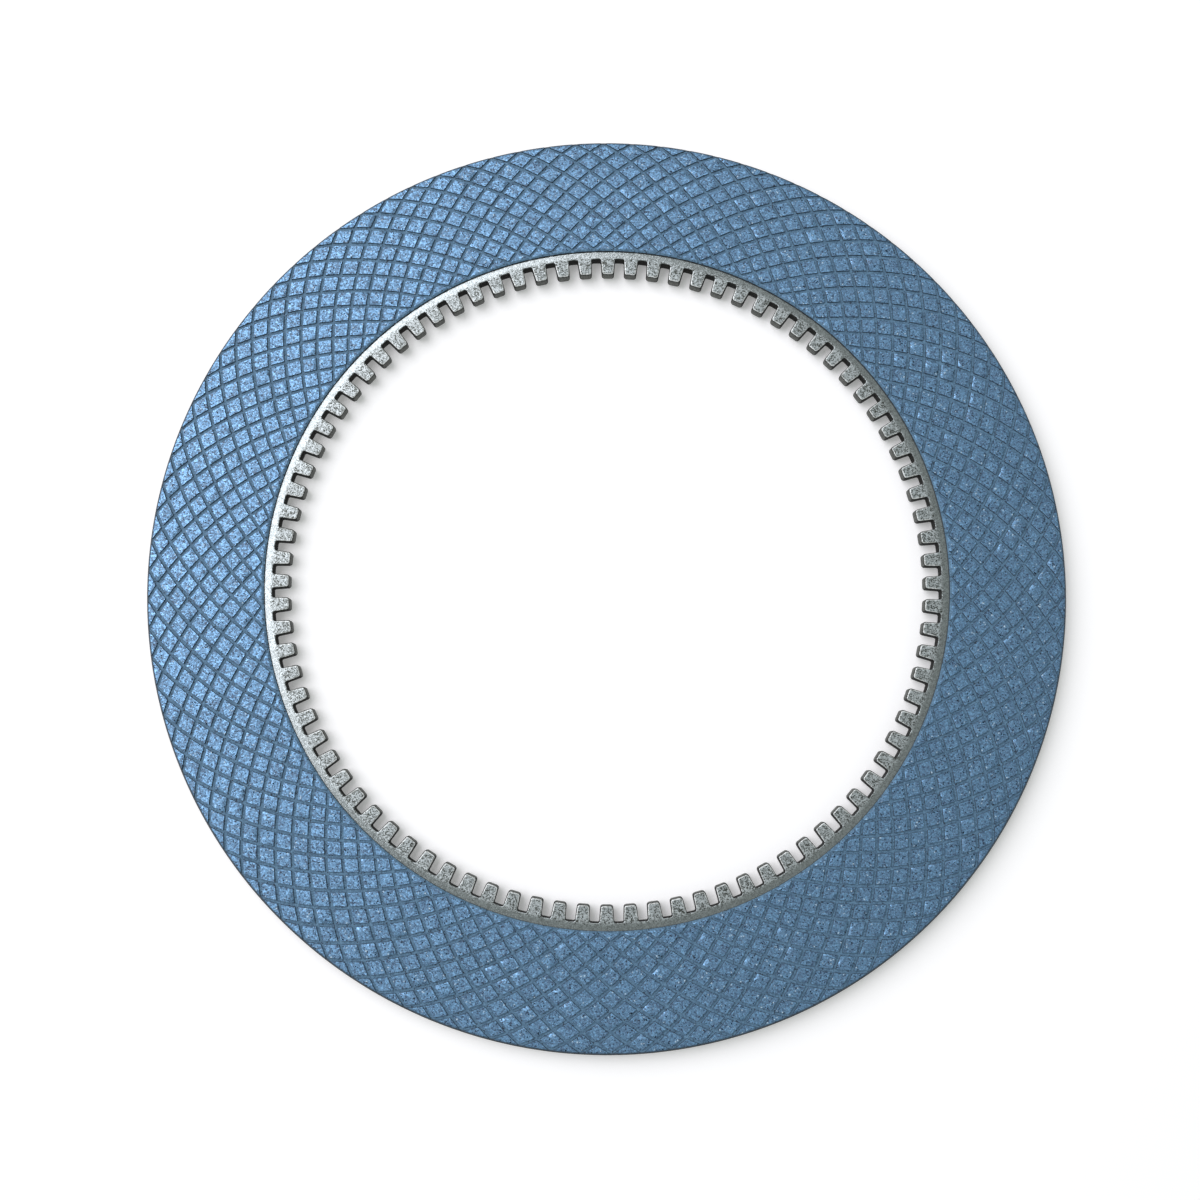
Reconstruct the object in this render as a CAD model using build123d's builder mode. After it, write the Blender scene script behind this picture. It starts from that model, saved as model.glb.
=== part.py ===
"""Clutch disc for a wet multi-plate clutch: a splined steel plate lined on both faces.

Millimetres and degrees. The disc's axis is Z, and its origin is at the middle of the plate.
"""

import os
from math import cos, radians, sin, sqrt, tan

from build123d import *

# Steel plate
core_diameter = 310.8
core_thickness = 4.5

# Internal spline, in modules where gear practice gives it so
spline_module = 2.5
tooth_count = 88
tooth_addendum = 1.0
tooth_dedendum = 1.25
tooth_tip_width = 4.2
tooth_flank_angle = 4.0
tooth_corner_chamfer = 0.65

# Friction linings
facing_thickness = 1.1
facing_edge_margin = 0.4
spline_rim_width = 2.7

# Grooves: two mirrored families of arcs, whose crossings leave rows of diamond pads
groove_count = 54
groove_rows = 6
groove_arc_radius = 119.0
groove_width = 1.3
groove_depth = 0.5

# Sizes that follow from those above
core_radius = core_diameter / 2
pitch_radius = spline_module * tooth_count / 2
tip_radius = pitch_radius - tooth_addendum * spline_module
root_radius = pitch_radius + tooth_dedendum * spline_module
facing_outer_radius = core_radius - facing_edge_margin
facing_inner_radius = root_radius + spline_rim_width
facing_seat_height = core_thickness / 2
facing_top_height = facing_seat_height + facing_thickness

# A tooth runs on into the rim by half the rim's width, so that the two join without a seam
tooth_foot_radius = root_radius + spline_rim_width / 2
tooth_foot_width = tooth_tip_width + 2 * (tooth_foot_radius - tip_radius) * tan(radians(tooth_flank_angle))
tooth_tip_half = tooth_tip_width / 2
tooth_foot_half = tooth_foot_width / 2


def on_circle(radius, angle):
    """The point of the disc's plane at this radius and this angle from the X axis."""
    return Vector(radius * cos(radians(angle)), radius * sin(radians(angle)))


# Two mirrored grooves that leave one point of the inner edge meet again each time they are a whole pitch
# apart, so a row is half a pitch of sweep for each. The first and last crossings lie on the lining's edges.
row_angle = 180 / groove_count
groove_start = on_circle(facing_inner_radius, 0)
groove_end = on_circle(facing_outer_radius, groove_rows * row_angle)
groove_chord = groove_end - groove_start
arc_centre_offset = sqrt(groove_arc_radius**2 - (groove_chord.length / 2) ** 2)
chord_normal = Vector(-groove_chord.Y, groove_chord.X).normalized()
arc_centre = (groove_start + groove_end) / 2 + chord_normal * arc_centre_offset


def crossing(row):
    """Where the groove's arc crosses the ray on which it meets a groove of the mirrored family."""
    direction = on_circle(1, row * row_angle)
    along = arc_centre.dot(direction)
    return direction * (along + sqrt(along**2 + groove_arc_radius**2 - arc_centre.dot(arc_centre)))


# One row more at each end carries the cut out through the lining's edges
groove_points = [crossing(row) for row in range(-1, groove_rows + 2)]
groove_heading = groove_points[1] - groove_points[0]
groove_plane = Plane(
    origin=groove_points[0] + Vector(0, 0, facing_top_height),
    x_dir=(-groove_heading.Y, groove_heading.X, 0),
    z_dir=groove_heading,
)

# The V of a groove is drawn up past the lining's face, in the same slope, so that it cuts clear of it
cut_overshoot = 1.2
cut_half_width = cut_overshoot * groove_width / 2
cut_height = (cut_overshoot - 1) * groove_depth

# core_plate: blanked ring with the teeth that slide on the hub. The polygon that bounds the spaces has one
# side to a tooth pitch and its corners inside the teeth, so that each space ends in a plain flat.
with BuildPart() as core_plate:
    with BuildSketch(Plane.XY.offset(-core_thickness / 2)):
        Circle(core_radius)
        RegularPolygon(root_radius, tooth_count, major_radius=False, align=None, mode=Mode.SUBTRACT)
        with BuildSketch(mode=Mode.PRIVATE) as tooth:
            with BuildLine():
                Polyline(
                    (tip_radius, -tooth_tip_half),
                    (tooth_foot_radius, -tooth_foot_half),
                    (tooth_foot_radius, tooth_foot_half),
                    (tip_radius, tooth_tip_half),
                    close=True,
                )
            make_face()
            chamfer(tooth.vertices().group_by(Axis.X)[0], tooth_corner_chamfer)
        with PolarLocations(0, tooth_count):
            add(tooth.sketch)
    extrude(amount=core_thickness)

# The tool for one groove: a V taken along straight lines from crossing to crossing
with BuildPart() as groove_tool:
    with BuildLine(Plane.XY.offset(facing_top_height)):
        Polyline(*[(point.X, point.Y) for point in groove_points])
    with BuildSketch(groove_plane):
        with BuildLine():
            Polyline((-cut_half_width, cut_height), (0, -groove_depth), (cut_half_width, cut_height), close=True)
        make_face()
    sweep(transition=Transition.RIGHT)

# front_facing: one ring of friction paper, with both families of grooves pressed into its face
with BuildPart() as front_facing:
    with BuildSketch(Plane.XY.offset(facing_seat_height)):
        Circle(facing_outer_radius)
        Circle(facing_inner_radius, mode=Mode.SUBTRACT)
    extrude(amount=facing_thickness)
    with PolarLocations(0, groove_count):
        add(groove_tool.part, mode=Mode.SUBTRACT)
    with PolarLocations(0, groove_count):
        add(groove_tool.part.mirror(Plane.XZ), mode=Mode.SUBTRACT)

# back_facing: the same lining on the other face of the plate
with BuildPart() as back_facing:
    mirror(front_facing.part, about=Plane.XY)

core_plate.part.label = "core_plate"
front_facing.part.label = "front_facing"
back_facing.part.label = "back_facing"

os.makedirs("parts", exist_ok=True)
export_step(core_plate.part, "parts/core_plate.step")
export_step(front_facing.part, "parts/front_facing.step")
export_step(back_facing.part, "parts/back_facing.step")
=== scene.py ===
# %% [markdown]
# # A clutch disc in Blender
# A wet clutch holds a stack of discs like this one, running in oil. A thin steel plate carries the
# load, its inner teeth slide on a hub, and a ring of friction paper is bonded to each face. The CAD
# model gives every size. This file dresses it: finer grooves, softened edges and real finishes, all
# in metres.

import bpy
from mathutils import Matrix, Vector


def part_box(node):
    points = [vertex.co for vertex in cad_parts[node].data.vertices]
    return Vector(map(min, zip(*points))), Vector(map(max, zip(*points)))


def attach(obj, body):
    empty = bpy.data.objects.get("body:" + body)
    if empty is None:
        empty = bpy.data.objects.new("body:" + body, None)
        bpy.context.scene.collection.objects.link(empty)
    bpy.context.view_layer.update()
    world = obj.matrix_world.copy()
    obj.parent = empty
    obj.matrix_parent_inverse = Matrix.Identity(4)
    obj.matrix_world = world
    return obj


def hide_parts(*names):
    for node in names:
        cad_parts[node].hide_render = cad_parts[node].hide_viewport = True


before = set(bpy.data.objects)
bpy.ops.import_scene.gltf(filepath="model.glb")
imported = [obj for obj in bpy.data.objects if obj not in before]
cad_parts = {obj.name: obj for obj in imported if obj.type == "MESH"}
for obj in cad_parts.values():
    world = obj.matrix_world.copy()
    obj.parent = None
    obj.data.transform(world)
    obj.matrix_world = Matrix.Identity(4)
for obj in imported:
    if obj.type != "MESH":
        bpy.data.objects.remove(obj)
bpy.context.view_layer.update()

# %% [markdown]
# Everything sits in the CAD's own coordinates: Z is the disc's axis, and zero is half way through
# the plate. Sizes are written in millimetres below and turned into metres once, so that they look
# like the numbers on a drawing. A round body comes in as short flats, so the rim takes the smallest
# of its four half widths: then no point of the dressed plate stands outside the box.

# %% Read the sizes of the three parts
from math import cos, pi, radians, sin, sqrt, tan

import bpy
import numpy as np
from mathutils import Matrix, Vector

MM = 0.001

plate_low, plate_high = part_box("core_plate")
lining_low, lining_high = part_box("front_facing")
rim_radius = min(-plate_low.x, -plate_low.y, plate_high.x, plate_high.y)
seat_height = plate_high.z
lining_outer = lining_high.x
lining_top = lining_high.z
print("plate radius", rim_radius, "and upper face at", seat_height)
print("lining radius", lining_outer, "from height", lining_low.z, "to", lining_top)

# %% [markdown]
# The box can't tell where a ring's hole is, so the inner sizes are the drawing's own. The teeth
# stand between the root circle and the smaller tip circle, and a bare band of steel lies between
# the roots and the lining's bore.

# %% Note the inner sizes
teeth = 88
tip_radius = 107.5 * MM
root_radius = 113.125 * MM
lining_bore = 115.825 * MM
print("bare band beside the lining, in mm:", round((lining_bore - root_radius) / MM, 2))

# %% [markdown]
# ## A piece from points and faces
# The groove pattern repeats a thousand times, so the meshes are worked out as tables of points and
# handed to Blender in one go. That is far quicker than modelling operators, and every point lands
# exactly where the drawing puts it. Faces that meet at more than the crease angle keep a crisp
# edge. A piece then rides on the disc's one body and takes the place of a plain CAD solid.

# %% Turn points and faces into a piece of the disc
crease_angle = radians(32)


def make_piece(name, points, faces, finish, cad_node, slot):
    """A piece of the disc, in place of the CAD solid of the same shape."""
    mesh = bpy.data.meshes.new(name)
    mesh.from_pydata(points, [], faces)
    mesh.validate()
    mesh.materials.append(finish)
    mesh.shade_smooth()
    mesh.set_sharp_from_angle(angle=crease_angle)
    piece = bpy.data.objects.new(name, mesh)
    bpy.context.collection.objects.link(piece)
    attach(piece, "root")
    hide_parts(cad_node)
    triangles = sum(len(face.vertices) - 2 for face in mesh.polygons)
    print(name, "has", triangles, "triangles")


# %% [markdown]
# ## Writing a finish as arithmetic
# A shader is a small calculation that runs at every point of a surface. Written as nodes it soon
# becomes hard to read, so one class lets a socket be added, multiplied and compared like a number,
# and each operation quietly adds its Math node.


# %% Wrap a socket so that arithmetic works on it
class Wire:
    """A node's output, on which sums can be written."""

    def __init__(self, finish, socket):
        self.finish = finish
        self.socket = socket

    def __add__(self, other):
        return self.finish.maths("ADD", self, other)

    def __sub__(self, other):
        return self.finish.maths("SUBTRACT", self, other)

    def __rsub__(self, other):
        return self.finish.maths("SUBTRACT", other, self)

    def __mul__(self, other):
        return self.finish.maths("MULTIPLY", self, other)

    def __lt__(self, other):
        return self.finish.maths("LESS_THAN", self, other)

    def __gt__(self, other):
        return self.finish.maths("GREATER_THAN", self, other)

    def __abs__(self):
        return self.finish.maths("ABSOLUTE", self)

    __radd__ = __add__
    __rmul__ = __mul__


# %% [markdown]
# Every other node comes from one method. It takes the kind of node, its settings, which go in first
# because they can change which sockets the node has, and then a value or a wire for each socket.


# %% Put a finish together from nodes
class Finish:
    """A material being put together."""

    def __init__(self, name):
        self.material = bpy.data.materials.new(name)
        self.material.use_nodes = True
        self.tree = self.material.node_tree
        self.tree.nodes.clear()

    def add(self, kind, settings, sockets, result=0):
        """Adds a node and gives back one of its outputs, by number or name."""
        node = self.tree.nodes.new(kind)
        for key, value in settings.items():
            if key == "stops":
                self.set_stops(node.color_ramp, value)
            else:
                setattr(node, key, value)
        for key, value in sockets.items():
            if isinstance(value, Wire):
                self.tree.links.new(value.socket, node.inputs[key])
            else:
                node.inputs[key].default_value = value
        return Wire(self, node.outputs[result]) if len(node.outputs) else None

    def set_stops(self, ramp, stops):
        """Gives a colour ramp its grey stops, from left to right."""
        while len(ramp.elements) < len(stops):
            ramp.elements.new(0.5)
        for element, (position, grey) in zip(ramp.elements, stops):
            element.position = position
            element.color = (grey, grey, grey, 1)

    def maths(self, operation, *terms):
        """A Math node of this operation on these terms."""
        return self.add("ShaderNodeMath", {"operation": operation}, dict(enumerate(terms)))

    def close(self, surface):
        """Joins the shader to the output and tells how many nodes the finish took."""
        self.add("ShaderNodeOutputMaterial", {}, {"Surface": surface})
        print(self.material.name, "is made of", len(self.tree.nodes), "nodes")
        return self.material


# %% [markdown]
# Colours are picked as the 0 to 255 numbers of a screen, because that is how a maker matches a chip
# of paint. A shader reckons in linear light, so each number is straightened first.


# %% Pick colours as on a screen
def colour(red, green, blue):
    """A colour picked as 0 to 255 screen values, as the linear colour that a shader needs."""
    shares = [value / 255 for value in (red, green, blue)]
    # The curve of an sRGB screen: a straight foot, then a power
    linear = [c / 12.92 if c <= 0.04045 else ((c + 0.055) / 1.055) ** 2.4 for c in shares]
    return (*linear, 1)


print("a screen's middle grey, 128, is only", round(colour(128, 128, 128)[0], 2), "as linear light")

# %% [markdown]
# Three nodes come up again and again, so each gets a word. A fade is a soft step, the usual way to
# keep a stain to one place. A mix puts one colour over another by such a stain. A curve makes grain
# harsher or softer.


# %% Mix, fade and curve
def mix(share, first, second):
    """Two colours mixed: the first where share is 0, the second where it is 1."""
    # Sockets 6 and 7 and output 2 are the ones that a Mix node uses for colours
    sockets = {0: share, 6: first, 7: second}
    return share.finish.add("ShaderNodeMix", {"data_type": "RGBA"}, sockets, 2)


def fade(value, start, end, first=0.0, last=1.0):
    """Runs smoothly from first to last while the value runs from start to end."""
    settings = {"interpolation_type": "SMOOTHSTEP"}
    sockets = {"Value": value, "From Min": start, "From Max": end, "To Min": first, "To Max": last}
    return value.finish.add("ShaderNodeMapRange", settings, sockets)


def curve(value, *stops):
    """The value passed through a curve of (position, result) stops."""
    return value.finish.add("ShaderNodeValToRGB", {"stops": stops}, {0: value})


# %% [markdown]
# Grain comes in two kinds. Noise is cloudy, like fibres or a mottled coat. Cells give every small
# grain its own grey, like crystals or mineral powder. Both are worked out in space, so no seam can
# show.


# %% Make grain
def noise(place, size, detail, roughness):
    """Cloudy noise whose blots are about size across."""
    sockets = {"Vector": place, "Scale": 1 / size, "Detail": detail, "Roughness": roughness}
    return place.finish.add("ShaderNodeTexNoise", {"noise_dimensions": "3D"}, sockets)


def grains(place, size):
    """A random grey for each of many small grains about size across."""
    sockets = {"Vector": place, "Scale": 1 / size}
    cells = place.finish.add("ShaderNodeTexVoronoi", {}, sockets, "Color")
    return place.finish.add("ShaderNodeSeparateColor", {}, {0: cells})


# %% [markdown]
# A finish also has to know where on the disc it is. The axis is Z. So the Z of a place is its
# height, the Z of a direction says how upright the surface points, and with the Z taken out, the
# length of what is left is the distance from the axis.


# %% Tell where a point lies and how the surface leans
def z_of(vector):
    """The part of a place or direction that runs along the disc's axis."""
    return vector.finish.add("ShaderNodeSeparateXYZ", {}, {0: vector}, "Z")


def flattened(vector):
    """The same place or direction, seen along the disc's axis."""
    settings = {"operation": "MULTIPLY"}
    return vector.finish.add("ShaderNodeVectorMath", settings, {0: vector, 1: (1, 1, 0)})


def distance_from_axis(place):
    """How far a point lies from the disc's axis."""
    settings = {"operation": "LENGTH"}
    return place.finish.add("ShaderNodeVectorMath", settings, {0: flattened(place)}, "Value")


# %% [markdown]
# ## Friction paper
# The linings are a felted paper of fibres and mineral grains soaked in resin. The faces of the pads
# have been pressed smooth and rubbed in use, so they glint softly, while the grooves between them
# stay matte and darker. Pads and grooves could be two materials, but the change between them is
# soft. One finish that tells them apart by height and tilt keeps it so, and works on both faces of
# the disc. The tilt is the True Normal, the mesh's own, since the smoothed one blurs at an edge.

# %% Tell the pads from the grooves
paper = Finish("blue_friction_paper")
paper_place = paper.add("ShaderNodeNewGeometry", {}, {}, "Position")
paper_tilt = paper.add("ShaderNodeNewGeometry", {}, {}, "True Normal")
rubbed_depth, matte_depth = 0.05 * MM, 0.14 * MM
leaning, level = 0.955, 0.985

depth_from_face = lining_top - abs(z_of(paper_place))
near_face = fade(depth_from_face, rubbed_depth, matte_depth, first=1.0, last=0.0)
lies_flat = fade(abs(z_of(paper_tilt)), leaning, level)
# 1 on the faces of the pads, 0 down in the grooves and on the lining's pressed-down edges
pad_face = near_face * lies_flat
print("the rubbed face ends between", rubbed_depth / MM, "and", matte_depth / MM, "mm down")

# %% [markdown]
# Close up, the paper isn't one blue. Pale and dark grains of about half a millimetre lie in a web
# of fibres. A painted picture could show that, but it would stretch and repeat, so two sizes of
# grain and a cloudy noise are added up. A curve then spreads the sum from dark to pale, and each
# part of the paper reads its own two colours with it.

# %% Speckle the paper
fibre_size = 0.7 * MM
grain_size = 0.45 * MM
fine_grain_size = 0.3 * MM

fibre = noise(paper_place, fibre_size, 3.0, 0.75)
grain = grains(paper_place, grain_size)
fine_grain = grains(paper_place, fine_grain_size)
speckle = grain * 0.45 + fine_grain * 0.3 + fibre * 0.3
tone = curve(speckle, (0.2, 0.0), (0.36, 0.3), (0.54, 0.5), (0.68, 0.68), (0.8, 1.0))

pad_colour = mix(tone, colour(9, 42, 75), colour(142, 188, 227))
groove_colour = mix(tone, colour(47, 82, 109), colour(99, 140, 170))
felt_colour = mix(pad_face, groove_colour, pad_colour)
print("grains per square centimetre, roughly:", round((10 * MM / grain_size) ** 2))

# %% [markdown]
# Here and there a fibre has pulled out and left a pit, painted dark as the shade inside it, and a
# few flecks of pale mineral lie open on the pads. Modelling them would take many small faces for
# what the eye reads as dots. A third set of grains draws lots instead: the lowest numbers become
# pits, painted in a dark blue shade, and the highest become flecks.

# %% Scatter pits and flecks
lot_size = 0.38 * MM
share_of_pits = 0.035
share_of_flecks = 0.008

lot = grains(paper_place, lot_size)
shaded_pit = lot < share_of_pits
fleck = (lot > 1 - share_of_flecks) * pad_face
# Painted shade: each pit takes a dark blue for the hollow inside it
pit_shaded_colour = mix(shaded_pit, felt_colour, colour(20, 38, 56))
flecked_colour = mix(fleck, pit_shaded_colour, colour(178, 204, 222))
print("one grain in", round(1 / share_of_pits), "is a pit")
print("one grain in", round(1 / share_of_flecks), "is a fleck")

# %% [markdown]
# The steep walls of the grooves are painted darker, as painted shade. The stamped edge of the
# paper, and the outermost strip at the rim, are painted nearly black, as painted shade at the
# lining's edges.
# How upright the surface points tells a wall from a face, and the distance from the axis finds the
# strip.

# %% Darken the walls and the edges
outer_shade_start, outer_shade_end = lining_outer - 0.7 * MM, lining_outer - 0.3 * MM
sheer, steep, gentle = 0.1, 0.5, 0.85
wall_shade, outer_shade = 0.45, 0.85

paper_facing = paper.add("ShaderNodeNewGeometry", {}, {}, "Normal")
paper_upright = abs(z_of(paper_facing))
# Painted shade: the steep walls of the grooves are darkened towards this colour
groove_wall_shade = fade(paper_upright, steep, gentle, first=wall_shade, last=0.0)
face_colour = mix(groove_wall_shade, flecked_colour, colour(28, 50, 68))
# Painted shade on the lining's own walls and along its outermost strip
stamped_wall_shade = fade(paper_upright, sheer, steep, first=1.0, last=0.0)
outer_edge_shade = fade(distance_from_axis(paper_place), outer_shade_start, outer_shade_end, last=outer_shade)
paper_edge_shade = paper.maths("MAXIMUM", stamped_wall_shade, outer_edge_shade)
paper_colour = mix(paper_edge_shade, face_colour, colour(38, 50, 60))
# The printed strip is the outer strip painted dark as shade
print("the handled strip begins", round(outer_shade_start / MM, 2), "mm from the axis")

# %% [markdown]
# The rubbed pads shine in the paper's own blue, and a metal is what shines in its own colour. A
# clear coat would shine white. So a share of the pads is metallic, more of it on the pale grains.
# The same speckle drives a fine bump, so that the shine breaks up into glints.

# %% Finish the paper
least_metal, grain_metal = 0.17, 1.15
matte, rubbed_gloss = 0.75, 0.32

grain_sockets = {"Strength": 0.9, "Distance": 0.09 * MM, "Height": speckle}
paper_bump = paper.add("ShaderNodeBump", {}, grain_sockets)
paper_sockets = {
    "Base Color": paper_colour,
    "Metallic": pad_face * (least_metal + grain * grain_metal) * (1 - fleck),
    "Roughness": matte - pad_face * rubbed_gloss,
    "Normal": paper_bump,
    "Specular IOR Level": 0.8,
}
friction_paper = paper.close(paper.add("ShaderNodeBsdfPrincipled", {}, paper_sockets))

# %% [markdown]
# ## Steel plate
# The plate is blanked from sheet and left with a thin grey phosphate coat, slightly mottled, that
# catches the light in tiny crystals. Faces, cut edges and rim all look different, and on a real
# plate they run into one another. So the steel is one finish too. It asks where a point lies and
# which way it faces.

# %% Find the parts of the plate
steel = Finish("phosphated_steel")
steel_place = steel.add("ShaderNodeNewGeometry", {}, {}, "Position")
steel_facing = steel.add("ShaderNodeNewGeometry", {}, {}, "Normal")
upright = abs(z_of(steel_facing))
from_axis = distance_from_axis(steel_place)

teeth_end, band_start = 112.5 * MM, 114.5 * MM
flank_end, space_start = 111.5 * MM, 112.7 * MM
rim_line = lining_outer - 0.1 * MM

# 1 on the teeth and 0 on the band beside the lining
on_teeth = fade(from_axis, teeth_end, band_start, first=1.0, last=0.0)
# 1 along a tooth's own edges and 0 at the bottom of the spaces
along_tooth = fade(from_axis, flank_end, space_start, first=1.0, last=0.0)
# 1 on the narrow outer rim, which stands past the linings
on_rim = fade(from_axis, rim_line, lining_outer)
print("the teeth give way to the band", teeth_end / MM, "to", band_start / MM, "mm from the axis")

# %% [markdown]
# The coat is a crust of crystals with cloudy stains in it. The teeth are stained and scuffed, so
# their speckle is strong, while the band beside the lining has kept an even coat. One curve serves
# both. Only the spread of what goes in is wider on the teeth.

# %% Mottle the coat
crystal_size, mottle_size = 0.32 * MM, 1.3 * MM
middle_tone, band_spread, more_on_teeth = 0.54, 0.44, 1.02

crystal = grains(steel_place, crystal_size)
mottle = noise(steel_place, mottle_size, 3.0, 0.7)
steel_speckle = crystal * 0.5 + mottle * 0.5
spread_speckle = middle_tone + (steel_speckle - 0.5) * (band_spread + on_teeth * more_on_teeth)
steel_tone = curve(spread_speckle, (0.28, 0.0), (0.42, 0.35), (0.56, 0.62), (0.8, 1.0))
plate_face = mix(steel_tone, colour(62, 66, 60), colour(190, 199, 201))
print("on the teeth the speckle spreads by", round(1 + more_on_teeth / band_spread, 1), "times")

# %% [markdown]
# The punched edges are painted nearly black, as painted shade on the walls of the teeth and spaces.
# It starts part of the way down the rounded edge of a tooth, and sooner in the spaces, hence the
# small lift along a tooth. Only the tip walls, which slide on the hub, take a lighter grey, painted
# as less
# shaded: they are the parts that face the axis and lie close to it.

# %% Blacken the cut edges
black_below, unshaded_above = 0.84, 0.98
tooth_lift = 0.03
turned_away, turned_to_hub = 0.6, 0.92
tip_wall_start, tip_wall_end = tip_radius + 1 * MM, tip_radius + 3 * MM
tip_wall_relief = 0.35

# Painted shade: the walls of the teeth and the spaces are painted nearly black
shaded_cut_edge = fade(upright + along_tooth * tooth_lift, black_below, unshaded_above, first=1.0, last=0.0)
flat_place = flattened(steel_place)
outwards = steel.add("ShaderNodeVectorMath", {"operation": "NORMALIZE"}, {0: flat_place})
both_ways = {0: outwards, 1: steel_facing}
agreement = steel.add("ShaderNodeVectorMath", {"operation": "DOT_PRODUCT"}, both_ways, "Value")
faces_hub = fade(abs(agreement), turned_away, turned_to_hub)
tip_wall_facing_hub = faces_hub * fade(from_axis, tip_wall_start, tip_wall_end, first=1.0, last=0.0)

edge_shade_colour = mix(steel_tone, colour(14, 15, 14), colour(34, 35, 32))
# The tip walls facing the hub get a lighter grey, painted as less shaded than flanks and roots
lighter_tip_wall = mix(steel_tone, colour(52, 54, 52), colour(98, 100, 95))
painted_edge_shade = mix(tip_wall_facing_hub, edge_shade_colour, lighter_tip_wall)
edge_shade_share = shaded_cut_edge * (1 - tip_wall_facing_hub * tip_wall_relief)
# The printed distance is how far the lighter, less shaded tip walls reach
print("the hub rubs the first", round((tip_wall_end - tip_radius) / MM, 1), "mm of each tooth")

# %% [markdown]
# Above the painted shade, the rounded edge of each tooth is painted pale, as a painted highlight: a
# thin line round the tip and flanks. It sits where the surface has just begun to lean. The rim at
# the outside is painted a darker brown-grey instead.

# %% Paint a highlight on the teeth and darken the rim
highlight_full, highlight_start = 0.975, 0.999

rounding_lean = fade(upright, highlight_full, highlight_start, first=1.0, last=0.0)
# Painted highlight: a pale line along the rounded edges of the teeth
painted_edge_highlight = rounding_lean * along_tooth * (1 - shaded_cut_edge)
highlight_colour = mix(steel_tone, colour(150, 155, 152), colour(228, 232, 231))
face_with_highlight = mix(painted_edge_highlight, plate_face, highlight_colour)
# The rim is painted a darker brown-grey
darker_rim = mix(steel_tone, colour(52, 50, 44), colour(84, 80, 72))
steel_colour = mix(on_rim, mix(shaded_cut_edge, face_with_highlight, painted_edge_shade), darker_rim)
print("the steel's colour has taken", len(steel.tree.nodes), "nodes")

# %% [markdown]
# Each crystal of the coat has its own tilt, so some glint where the rest is dull. A bump from finer
# noise gives them that. Where the cut edges are painted dark as shade, the metallic share and the
# gloss both go down too, so that no mirrored light lifts them.

# %% Finish the steel
band_metal, lost_on_teeth, lost_on_highlight = 0.93, 0.48, 0.25
sheet_roughness, added_on_teeth, added_on_edge_shade = 0.18, 0.08, 0.6
crust_size = 0.4 * MM
crust_on_band, more_crust_on_teeth, speckle_height = 0.55, 1.75, 0.3

crust = noise(steel_place, crust_size, 2.0, 0.6)
crust = crust * (crust_on_band + on_teeth * more_crust_on_teeth)
crust_height = crust + steel_speckle * speckle_height
crust_sockets = {"Strength": 0.8, "Distance": 0.05 * MM, "Height": crust_height}
steel_bump = steel.add("ShaderNodeBump", {}, crust_sockets)
bare_metal = band_metal - on_teeth * lost_on_teeth - painted_edge_highlight * lost_on_highlight
steel_sockets = {
    "Base Color": steel_colour,
    # Less metal and more roughness where the edges carry the painted shade
    "Metallic": bare_metal * (1 - edge_shade_share),
    "Roughness": on_teeth * added_on_teeth + edge_shade_share * added_on_edge_shade + sheet_roughness,
    "Normal": steel_bump,
}
phosphated_steel = steel.close(steel.add("ShaderNodeBsdfPrincipled", {}, steel_sockets))

# %% [markdown]
# ## The groove pattern
# The grooves carry the oil. They are two mirrored families of arcs, cut or pressed into the paper.
# They could be cut with a boolean, but a thousand crossings would make that slow and ragged. Where
# an arc has swept half a groove pitch it meets an arc of the other family, so the crossings lie on
# even rows. Counting grooves of one family as a and of the other as b turns the whole pattern into
# squared paper: every pad is one square, b - a counts the rows outwards, and (a + b) / 2 goes round
# the disc. So the lining is drawn on squared paper and bent into a ring.

# %% Set out one groove's arc
grooves = 98
rows = 11
arc_radius = 119 * MM
# How far the whole pattern is turned against the teeth
pattern_turn = radians(0.63)

# From the bore to the rim the arc sweeps all its rows, half a groove pitch each
half_pitch = pi / grooves
arc_start = np.array([lining_bore, 0.0])
arc_end = lining_outer * np.array([cos(rows * half_pitch), sin(rows * half_pitch)])
chord = arc_end - arc_start
chord_length = np.hypot(*chord)
to_centre = np.array([-chord[1], chord[0]]) / chord_length
arc_centre = (arc_start + arc_end) / 2 + to_centre * sqrt(arc_radius**2 - chord_length**2 / 4)
print("the arc's centre, in mm:", (arc_centre / MM).round(2))

# %% [markdown]
# Bending needs one thing: how far from the axis each row lies. It follows from where the arc
# crosses the ray at that row's angle. The rows come out nearly even, a little tighter towards the
# rim.


# %% Find the radius of each row
def radius_at_row(row):
    """How far out the arcs are when they have swept this many rows."""
    along = arc_centre[0] * np.cos(row * half_pitch) + arc_centre[1] * np.sin(row * half_pitch)
    return along + np.sqrt(along**2 - arc_centre @ arc_centre + arc_radius**2)


print("rows lie at, in mm:", (radius_at_row(np.arange(rows + 1)) / MM).round(2))

# %% [markdown]
# The paper is stamped out, and its corners press down as it is bonded, so each lining has a
# softened edge. Scaling the whole pattern inwards would move the grooves. Instead only the first
# and the last row give up a little room.

# %% Make room for the softened edges
inner_border = 0.65 * MM
outer_border = 0.5 * MM


def radius_inside_borders(row):
    """The radius of a row, with the first and last row squeezed to leave the borders free."""
    radius = radius_at_row(row)
    first, last = radius_at_row(1.0), radius_at_row(rows - 1.0)
    low = lining_bore + inner_border
    high = lining_outer - outer_border
    near_bore = low + (first - low) * (radius - lining_bore) / (first - lining_bore)
    near_rim = high - (high - last) * (lining_outer - radius) / (lining_outer - last)
    return np.where(row < 1, near_bore, np.where(row > rows - 1, near_rim, radius))


face_ends = radius_inside_borders(np.array([0.0, rows]))
print("a lining's face runs between these radii, in mm:", (face_ends / MM).round(2))

# %% [markdown]
# Across a groove the section is a flat floor, a steep wall, a rounded shoulder, then the pad. Only
# the points where the section bends are needed. They are given as shares of the way from one
# groove's middle to the next, and the same shares rule the squared paper in both directions.

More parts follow.
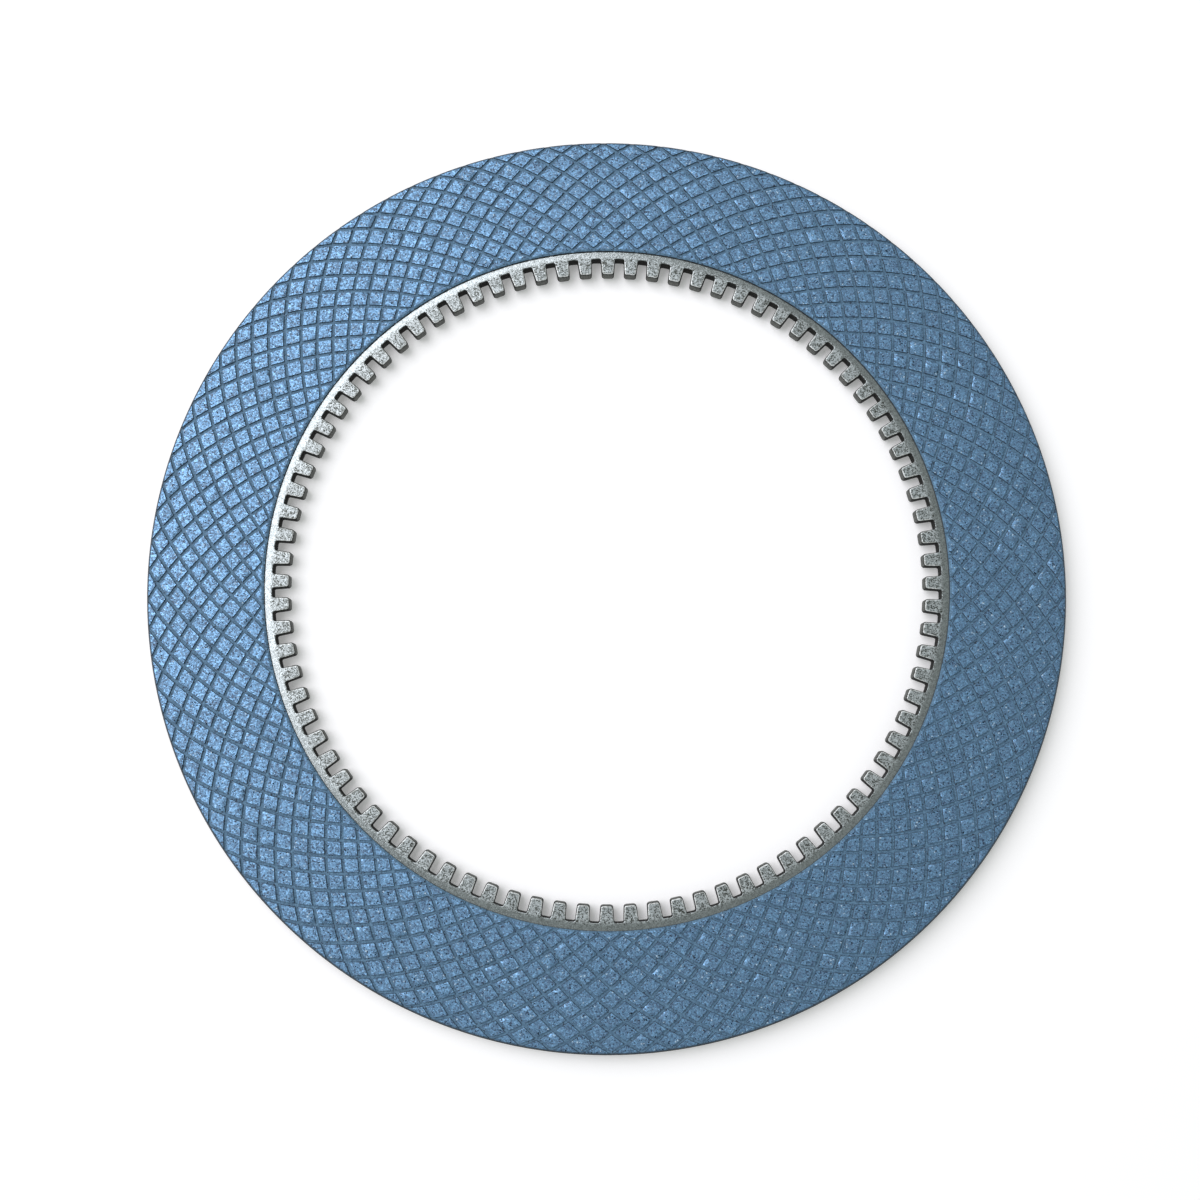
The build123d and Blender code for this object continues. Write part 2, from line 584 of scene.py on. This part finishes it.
# %% Give the grooves their section
groove_depth = 0.5 * MM
shoulder_drop = 0.05 * MM

# Where the floor, the wall and the shoulder end, and one more line to carry the pad
line_floor = 0.085
line_wall = 0.1
line_shoulder = 0.109
line_inner = 0.385
lines = np.array([line_floor, line_wall, line_shoulder, line_inner])
lines = np.concatenate([lines, 1 - lines[::-1]])


def groove_section(share):
    """The depth below the pad's face at this share of the way from one groove to the next."""
    away = np.minimum(share, 1 - share)
    depths = [groove_depth, groove_depth, shoulder_drop, 0, 0]
    return np.interp(away, [0, line_floor, line_wall, line_shoulder, 0.5], depths)


print("depths along the lines, in mm:", (groove_section(lines) / MM).round(3))

# %% [markdown]
# The squared paper has one column for every line of one family, all the way round, and one row for
# every step outwards. Each crossing is a point of the mesh and gets a number.

# %% Rule the squared paper
per_pad = len(lines)
around = grooves * per_pad
across = rows * per_pad
a_index, step = np.meshgrid(np.arange(around), np.arange(across + 1), indexing="ij")
b_index = a_index + step
corner = a_index * (across + 1) + step
print("a lining's face has", corner.size, "points")

# %% [markdown]
# A face is a list of the numbers at its corners, named anticlockwise as seen from outside. One
# helper pairs up whole tables of corners, and another closes a strip between two rings. The columns
# of the paper slant, so at the bore and at the rim it ends in triangles.


# %% Join the points into faces
def faces_from(*corners):
    """Faces out of tables that each hold one corner of every face."""
    return np.stack([np.ravel(table) for table in corners], -1).tolist()


def strip(first, second):
    """The closed strip of faces between two rings of points."""
    return faces_from(first, second, np.roll(second, -1), np.roll(first, -1))


following = np.roll(corner, -1, axis=0)
pad_net = faces_from(corner[:, 1:-1], following[:, :-2], following[:, 1:-1], corner[:, 2:])
pad_net += faces_from(corner[:, 0], following[:, 0], corner[:, 1])
pad_net += faces_from(corner[:, -1], following[:, -2], following[:, -1])
print("and", len(pad_net), "faces join them")

# %% [markdown]
# Pressed paper never gives a ruler-straight wall, and a pad is never quite flat. So the points
# wander a little, and the pads' own points also sink a little by chance. The seed makes that the
# same every time. The first and last circle stay put, because the softened edges hang on them.

# %% Bend the squared paper into a ring
# A share of the way from one groove to the next
wall_wander = 0.004
pad_unevenness = 0.012 * MM


def bend_face(seed):
    """The radius, angle and depth of every point on one lining's face."""
    chance = np.random.default_rng(seed)
    a_share, b_share = lines[a_index % per_pad], lines[b_index % per_pad]
    depth = np.maximum(groove_section(a_share), groove_section(b_share))
    wander = wall_wander * ((step > 0) & (step < across))
    a = a_index // per_pad + a_share + wander * chance.uniform(-1, 1, depth.shape)
    b = b_index // per_pad + b_share + wander * chance.uniform(-1, 1, depth.shape)
    sunk = pad_unevenness * chance.random(depth.shape)
    depth = depth + np.where(depth < shoulder_drop / 2, sunk, 0)
    return radius_inside_borders(b - a), (a + b) * half_pitch + pattern_turn, depth


print("the walls wander by up to", round(wall_wander * 2 * half_pitch * lining_outer / MM, 3), "mm")

# %% [markdown]
# Over a softened edge the paper curves down in three steps, then drops to the plate. Each step is a
# ring of points beside the last circle of the face. A groove that runs out there is already deeper
# than the steps, so the lower of the two counts, and the groove's mouth stays open.

# %% Carry the face over its edges
# How far across the border each step lies, as a share, and how far down
edge_steps = ((0.25, 0.06 * MM), (0.6, 0.16 * MM), (1.0, 0.34 * MM))


def on_circle(radius, angle, height):
    """Points given by their distance from the axis, their angle and their height."""
    return np.stack(np.broadcast_arrays(radius * np.cos(angle), radius * np.sin(angle), height), -1)


def edge_rings(edge_radius, border, angle, depth):
    """The rings that go over one edge of a lining and down to the plate."""
    rings = []
    for share, drop in edge_steps:
        height = lining_top - np.maximum(depth, drop)
        rings.append(on_circle(edge_radius + border * (1 - share), angle, height))
    rings.append(on_circle(edge_radius, angle, seat_height))
    return rings


print("rings at each edge:", len(edge_steps) + 1)

# %% [markdown]
# A lining closes underneath with one flat ring on the plate. The bore and the rim have equally many
# points, but the slant of the paper starts them at different angles, so one ring is turned by half
# its rows to lie beside the other. The back lining is drawn with its own seed and turned over.


# %% Draw both linings
def draw_lining(side, seed):
    """Points and faces of the lining on one side: 1 is the front, -1 the back."""
    radius, angle, depth = bend_face(seed)
    bore_rings = edge_rings(lining_bore, inner_border, angle[:, 0], depth[:, 0])
    rim_rings = edge_rings(lining_outer, -outer_border, angle[:, -1], depth[:, -1])
    face_points = on_circle(radius, angle, lining_top - depth).reshape(-1, 3)
    points = np.concatenate([face_points, *bore_rings, *rim_rings])
    ring_numbers = np.arange(corner.size, len(points)).reshape(-1, around)
    bore = [corner[:, 0], *ring_numbers[: len(bore_rings)]]
    rim = [corner[:, -1], *ring_numbers[len(bore_rings) :]]

    faces = list(pad_net)
    for first, second in zip(bore[:-1], bore[1:]):
        faces += strip(first, second)
    for first, second in zip(rim[:-1], rim[1:]):
        faces += strip(second, first)
    faces += strip(bore[-1], np.roll(rim[-1], across // 2))

    # Turned over, a face would look inwards, so its corners are named the other way round
    if side < 0:
        points[:, 2] *= -1
        faces = [face[::-1] for face in faces]
    return points.tolist(), faces


front_points, front_faces = draw_lining(side=1, seed=7)
back_points, back_faces = draw_lining(side=-1, seed=8)
print("points in each lining:", len(front_points))

# %% [markdown]
# ## The plate and its teeth
# The teeth are straight-sided with rounded tips, like the punch that made them. One tooth could be
# modelled and copied with an array, but the copies would have to be welded to the band. Here one
# outline is worked out, corner by corner, and turned round the disc, so that the plate is one
# closed shell.

# %% Size the teeth
tip_half = 2.1 * MM
flank_slope = tan(radians(4.0))
tip_round = 1.0 * MM
root_round = 0.5 * MM

tooth_angle = 2 * pi / teeth
root_half = tip_half + (root_radius - tip_radius) * flank_slope
print("a tooth is", 2 * tip_half / MM, "mm wide at its tip")
print("and", round(2 * root_half / MM, 2), "mm wide at its root")

# %% [markdown]
# A rounded corner is an arc that touches both edges. Its centre lies on the line that halves the
# corner, at a distance that follows from the radius and half the corner's angle.


# %% Round a corner off
def round_corner(before, corner, after, radius, steps):
    """Points of the arc that rounds a corner off."""
    back = (before - corner) / np.hypot(*(before - corner))
    ahead = (after - corner) / np.hypot(*(after - corner))
    half = np.arccos(back @ ahead) / 2
    centre = corner + (back + ahead) / np.hypot(*(back + ahead)) * radius / sin(half)
    start = corner + back * radius / tan(half) - centre
    end = corner + ahead * radius / tan(half) - centre
    first = np.arctan2(start[1], start[0])
    swing = (np.arctan2(end[1], end[0]) - first + pi) % (2 * pi) - pi
    turns = first + swing * np.linspace(0, 1, steps)
    return [centre + radius * np.array([cos(t), sin(t)]) for t in turns]


square = [np.array(place) for place in ((0.0, 1.0), (0.0, 0.0), (1.0, 0.0))]
print("a square corner, rounded by three points:")
print(np.round(round_corner(*square, radius=0.5, steps=3), 2))

# %% [markdown]
# A tooth is alike on both sides, so its upper half is drawn and mirrored. The outline starts in the
# middle of one space, goes round the tooth, and stops short of the middle of the next space, where
# the next tooth's outline begins.

# %% Draw one tooth
tip_middle = np.array([tip_radius, 0.0])
tip_corner = np.array([tip_radius, tip_half])
root_corner = np.array([sqrt(root_radius**2 - root_half**2), root_half])
gap_middle = root_radius * np.array([cos(tooth_angle / 2), sin(tooth_angle / 2)])

upper = round_corner(tip_middle, tip_corner, root_corner, tip_round, steps=6)
upper += round_corner(tip_corner, root_corner, gap_middle, root_round, steps=5)
lower = [point * [1, -1] for point in reversed(upper)]
one_tooth = np.array([gap_middle * [1, -1], *lower, tip_middle, *upper])
print("points in one tooth's outline:", len(one_tooth))

# %% [markdown]
# Use has worn the tips and flanks round, while the edges of the spaces stay crisper. So every point
# of the outline also carries its own share of wear, less at the root than at the tip.

# %% Turn the tooth round the disc
root_wear = 0.6
wear_change = [root_radius - 1.2 * MM, root_radius - 0.3 * MM]


def turned(points, angle):
    """Flat points turned about the axis."""
    x, y = points[:, 0], points[:, 1]
    return np.stack([x * cos(angle) - y * sin(angle), x * sin(angle) + y * cos(angle)], -1)


outline = np.concatenate([turned(one_tooth, k * tooth_angle) for k in range(teeth)])
wear = np.tile(np.interp(one_tooth[:, 0], wear_change, [1.0, root_wear]), teeth)
print("the closed outline has", len(outline), "points")

# %% [markdown]
# Blanked parts are tumbled, which softens every edge. A bevel modifier would make each edge alike,
# and here the wear differs. So copies of the outline, moved into the metal and down by the right
# amounts, make the rounded edge as a stack of rings.


# %% Move the outline into the metal
def moved_into_metal(points, distance):
    """The closed outline moved away from the hub by a distance, measured square to each edge."""
    edge = np.roll(points, -1, axis=0) - points
    edge_length = np.hypot(edge[:, 0], edge[:, 1])[:, None]
    across_edge = np.stack([edge[:, 1], -edge[:, 0]], -1) / edge_length
    both = across_edge + np.roll(across_edge, 1, axis=0)
    length = np.hypot(both[:, 0], both[:, 1])[:, None]
    return points + both / length * distance[:, None] / (length / 2)


tried = moved_into_metal(outline, np.full(len(outline), 1 * MM))
print("moved in by 1 mm, the tips lie at", round(np.hypot(*tried.T).min() / MM, 2), "mm")

# %% [markdown]
# The section of a tooth's edge is a quarter of an ellipse, a little wider than it is deep. Its
# mirror image brings it round to the lower face. The first ring lies on the flat face, just beside
# the rounding, so that the shading stays flat up to there.

# %% Stack the rings of the teeth
edge_width = 0.7 * MM
edge_drop = 0.45 * MM
face_margin = 0.05 * MM
quarter = [radians(t) for t in (0, 22.5, 45, 67.5, 90)]


def tooth_rings():
    """The outline as rings, from the upper face over the edges and down to the lower face."""
    section = [(edge_width * wear + face_margin, np.full_like(wear, seat_height))]
    for t in quarter:
        inset = edge_width * wear * (1 - sin(t))
        section.append((inset, seat_height - edge_drop * wear * (1 - cos(t))))
    section += [(inset, -height) for inset, height in reversed(section)]
    return [np.column_stack([moved_into_metal(outline, i), height]) for i, height in section]


print("rings over the edges of the teeth:", len(tooth_rings()))

# %% [markdown]
# The rim is stacked in the same way from plain circles, with a smaller rounding, since nothing
# slides on it. The first circle lies on the band, where the flat faces round the teeth end.

# %% Stack the rings of the rim
rim_round = 0.22 * MM
flat_radius = 114.3 * MM
arc_steps = 8
rim_angles = (np.arange(teeth * arc_steps) / arc_steps - 0.5) * tooth_angle


def rim_rings():
    """Plain circles from the band beside the teeth, out over the rim and back on the lower face."""
    section = [(flat_radius, seat_height), (rim_radius - rim_round - face_margin, seat_height)]
    for t in quarter:
        radius = rim_radius - rim_round * (1 - sin(t))
        section.append((radius, seat_height - rim_round * (1 - cos(t))))
    section += [(radius, -height) for radius, height in reversed(section)]
    return [on_circle(radius, rim_angles, height) for radius, height in section]


print("rings over the rim:", len(rim_rings()))

# %% [markdown]
# Strips join ring to ring. That leaves the flat faces between the toothed outline and the first
# circle. The two have different numbers of points, so each tooth gets one many-sided face above and
# one below, which stays perfectly flat.


# %% Draw the plate
def draw_plate():
    """Points and faces of the whole steel plate."""
    inner, outer = tooth_rings(), rim_rings()
    points = np.concatenate([*inner, *outer])
    inner_count = len(inner) * len(outline)
    bore = np.arange(inner_count).reshape(len(inner), -1)
    rim = np.arange(inner_count, len(points)).reshape(len(outer), -1)

    faces = []
    for first, second in zip(bore[:-1], bore[1:]):
        faces += strip(second, first)
    for first, second in zip(rim[:-1], rim[1:]):
        faces += strip(first, second)
    for k in range(teeth):
        tooth = np.arange(k * len(one_tooth), (k + 1) * len(one_tooth) + 1) % len(outline)
        arc = np.arange(k * arc_steps, (k + 1) * arc_steps + 1) % len(rim_angles)
        faces.append([*bore[0][tooth][::-1].tolist(), *rim[0][arc].tolist()])
        faces.append([*bore[-1][tooth].tolist(), *rim[-1][arc][::-1].tolist()])
    return points.tolist(), faces


plate_points, plate_faces = draw_plate()
print("the plate has", len(plate_points), "points and", len(plate_faces), "faces")

# %% [markdown]
# ## The three pieces
# The real disc is a plate with two linings bonded on, and the model keeps the three apart, so that
# a worn lining or another steel can be tried without touching the rest. Each takes the place of its
# plain solid from the CAD.

# %% Place the three pieces
front = ("front_lining", front_points, front_faces, friction_paper)
back = ("back_lining", back_points, back_faces, friction_paper)
plate = ("toothed_plate", plate_points, plate_faces, phosphated_steel)
make_piece(*front, "front_facing", "friction_lining")
make_piece(*back, "back_facing", "friction_lining")
make_piece(*plate, "core_plate", "plate_steel")

# %% [markdown]
# ## The stage
# The disc lies on a plain white table, as it would come to rest, and the camera looks almost
# straight down. More light could whiten the table, but it would bleach the disc as well. So the
# table has a little glow that only the camera, mirrors and glass can see. It lights nothing, and
# the soft shadow stays.

# %% Whiten the table
table_glow = 0.22
table = Finish("white_table")
diffuse = table.add("ShaderNodeBsdfDiffuse", {}, {"Color": (0.88, 0.88, 0.88, 1)})
seen = table.add("ShaderNodeLightPath", {}, {}, "Is Camera Ray")
mirrored = table.add("ShaderNodeLightPath", {}, {}, "Is Glossy Ray")
through = table.add("ShaderNodeLightPath", {}, {}, "Is Transmission Ray")
glow = table.add("ShaderNodeEmission", {}, {"Strength": (seen + mirrored + through) * table_glow})
white_table = table.close(table.add("ShaderNodeAddShader", {}, {0: diffuse, 1: glow}))

# %% [markdown]
# The table top is a single square under the lower lining, far larger than the view, so that no edge
# of it comes near the disc.

# %% Lay the table
table_half = 3.0
signs = ((-1, -1), (1, -1), (1, 1), (-1, 1))
table_corners = [(x * table_half, y * table_half, -lining_top) for x, y in signs]
table_mesh = bpy.data.meshes.new("table")
table_mesh.from_pydata(table_corners, [], [(0, 1, 2, 3)])
table_mesh.materials.append(white_table)
table_top = bpy.data.objects.new("table", table_mesh)
bpy.context.collection.objects.link(table_top)
print("the table is", 2 * table_half, "m wide and lies at", round(-lining_top / MM, 2), "mm")

# %% [markdown]
# Soft light comes from everywhere. It is kept dim, because it is also what most of the steel
# mirrors: a bright world would leave no dark side.

# %% Surround the disc with soft light
world_strength = 0.42
world = bpy.data.worlds.new("studio")
bpy.context.scene.world = world
world.use_nodes = True
soft_light = world.node_tree.nodes["Background"]
soft_light.inputs["Color"].default_value = (0.95, 1.0, 0.97, 1)
soft_light.inputs["Strength"].default_value = world_strength
print("the world shines at", world_strength)

# %% [markdown]
# A lamp or a camera looks down its own negative Z. Its place and a target fix that direction, and a
# third direction says which way is up in its picture. Three directions at right angles and a place
# are exactly what a matrix holds.


# %% Aim a lamp or a camera
def aim(thing, place, target, up):
    """Puts a lamp or camera at a place, looking at a target, with up towards its picture's top."""
    place, target, up = Vector(place), Vector(target), Vector(up)
    back = (place - target).normalized()
    right = up.cross(back).normalized()
    top = back.cross(right)
    thing.matrix_world = Matrix(
        (
            (right.x, top.x, back.x, place.x),
            (right.y, top.y, back.y, place.y),
            (right.z, top.z, back.z, place.z),
            (0, 0, 0, 1),
        )
    )
    print(thing.name, "stands", round((place - target).length, 3), "m from what it looks at")


# %% [markdown]
# One large panel stands to the upper left. Metal and rubbed paper mirror it where the angle is
# right, which is why one side of the disc shines and the other is dull. A small lamp could give as
# much light, but its mirror image would be a small bright spot. So the panel is as wide as it is
# far away.

# %% Hang the panel
panel_distance = 2.4
panel_width = 2.4
panel_side = radians(149.5)
panel_lean = radians(38.9)

panel_data = bpy.data.lights.new("panel", "AREA")
panel_data.shape = "RECTANGLE"
panel_data.size = panel_data.size_y = panel_width
panel_data.energy = 55
panel_data.color = (1.0, 0.975, 1.03)
panel = bpy.data.objects.new("panel", panel_data)
bpy.context.collection.objects.link(panel)

panel_out = panel_distance * sin(panel_lean)
panel_up = panel_distance * cos(panel_lean)
panel_place = (panel_out * cos(panel_side), panel_out * sin(panel_side), panel_up)
aim(panel, panel_place, (0, 0, 0), (cos(panel_side), sin(panel_side), 0))

# %% [markdown]
# The camera hangs half a metre above, a hand's width towards the viewer from straight overhead. So
# close, perspective shows: the near walls of the teeth come into sight, and the ring isn't quite
# evenly wide. The disc stays straight in its frame, and the camera is turned the last fraction of a
# degree instead.

# %% Set the camera
camera_turn = radians(0.14)
camera_data = bpy.data.cameras.new("camera")
camera_data.lens = 42.0
camera_data.sensor_width = 36.0
camera = bpy.data.objects.new("camera", camera_data)
bpy.context.collection.objects.link(camera)


def with_camera_turn(x, y, z):
    """A place or direction turned about the disc's axis by the camera's own turn."""
    c, s = cos(camera_turn), sin(camera_turn)
    return (x * c - y * s, x * s + y * c, z)


camera_place = with_camera_turn(-5 * MM, -62 * MM, 471.7 * MM)
camera_target = with_camera_turn(-2.47 * MM, -5.72 * MM, -2.25 * MM)
aim(camera, camera_place, camera_target, with_camera_turn(0, 1, 0))
bpy.context.scene.camera = camera
bpy.context.scene.view_settings.view_transform = "Standard"
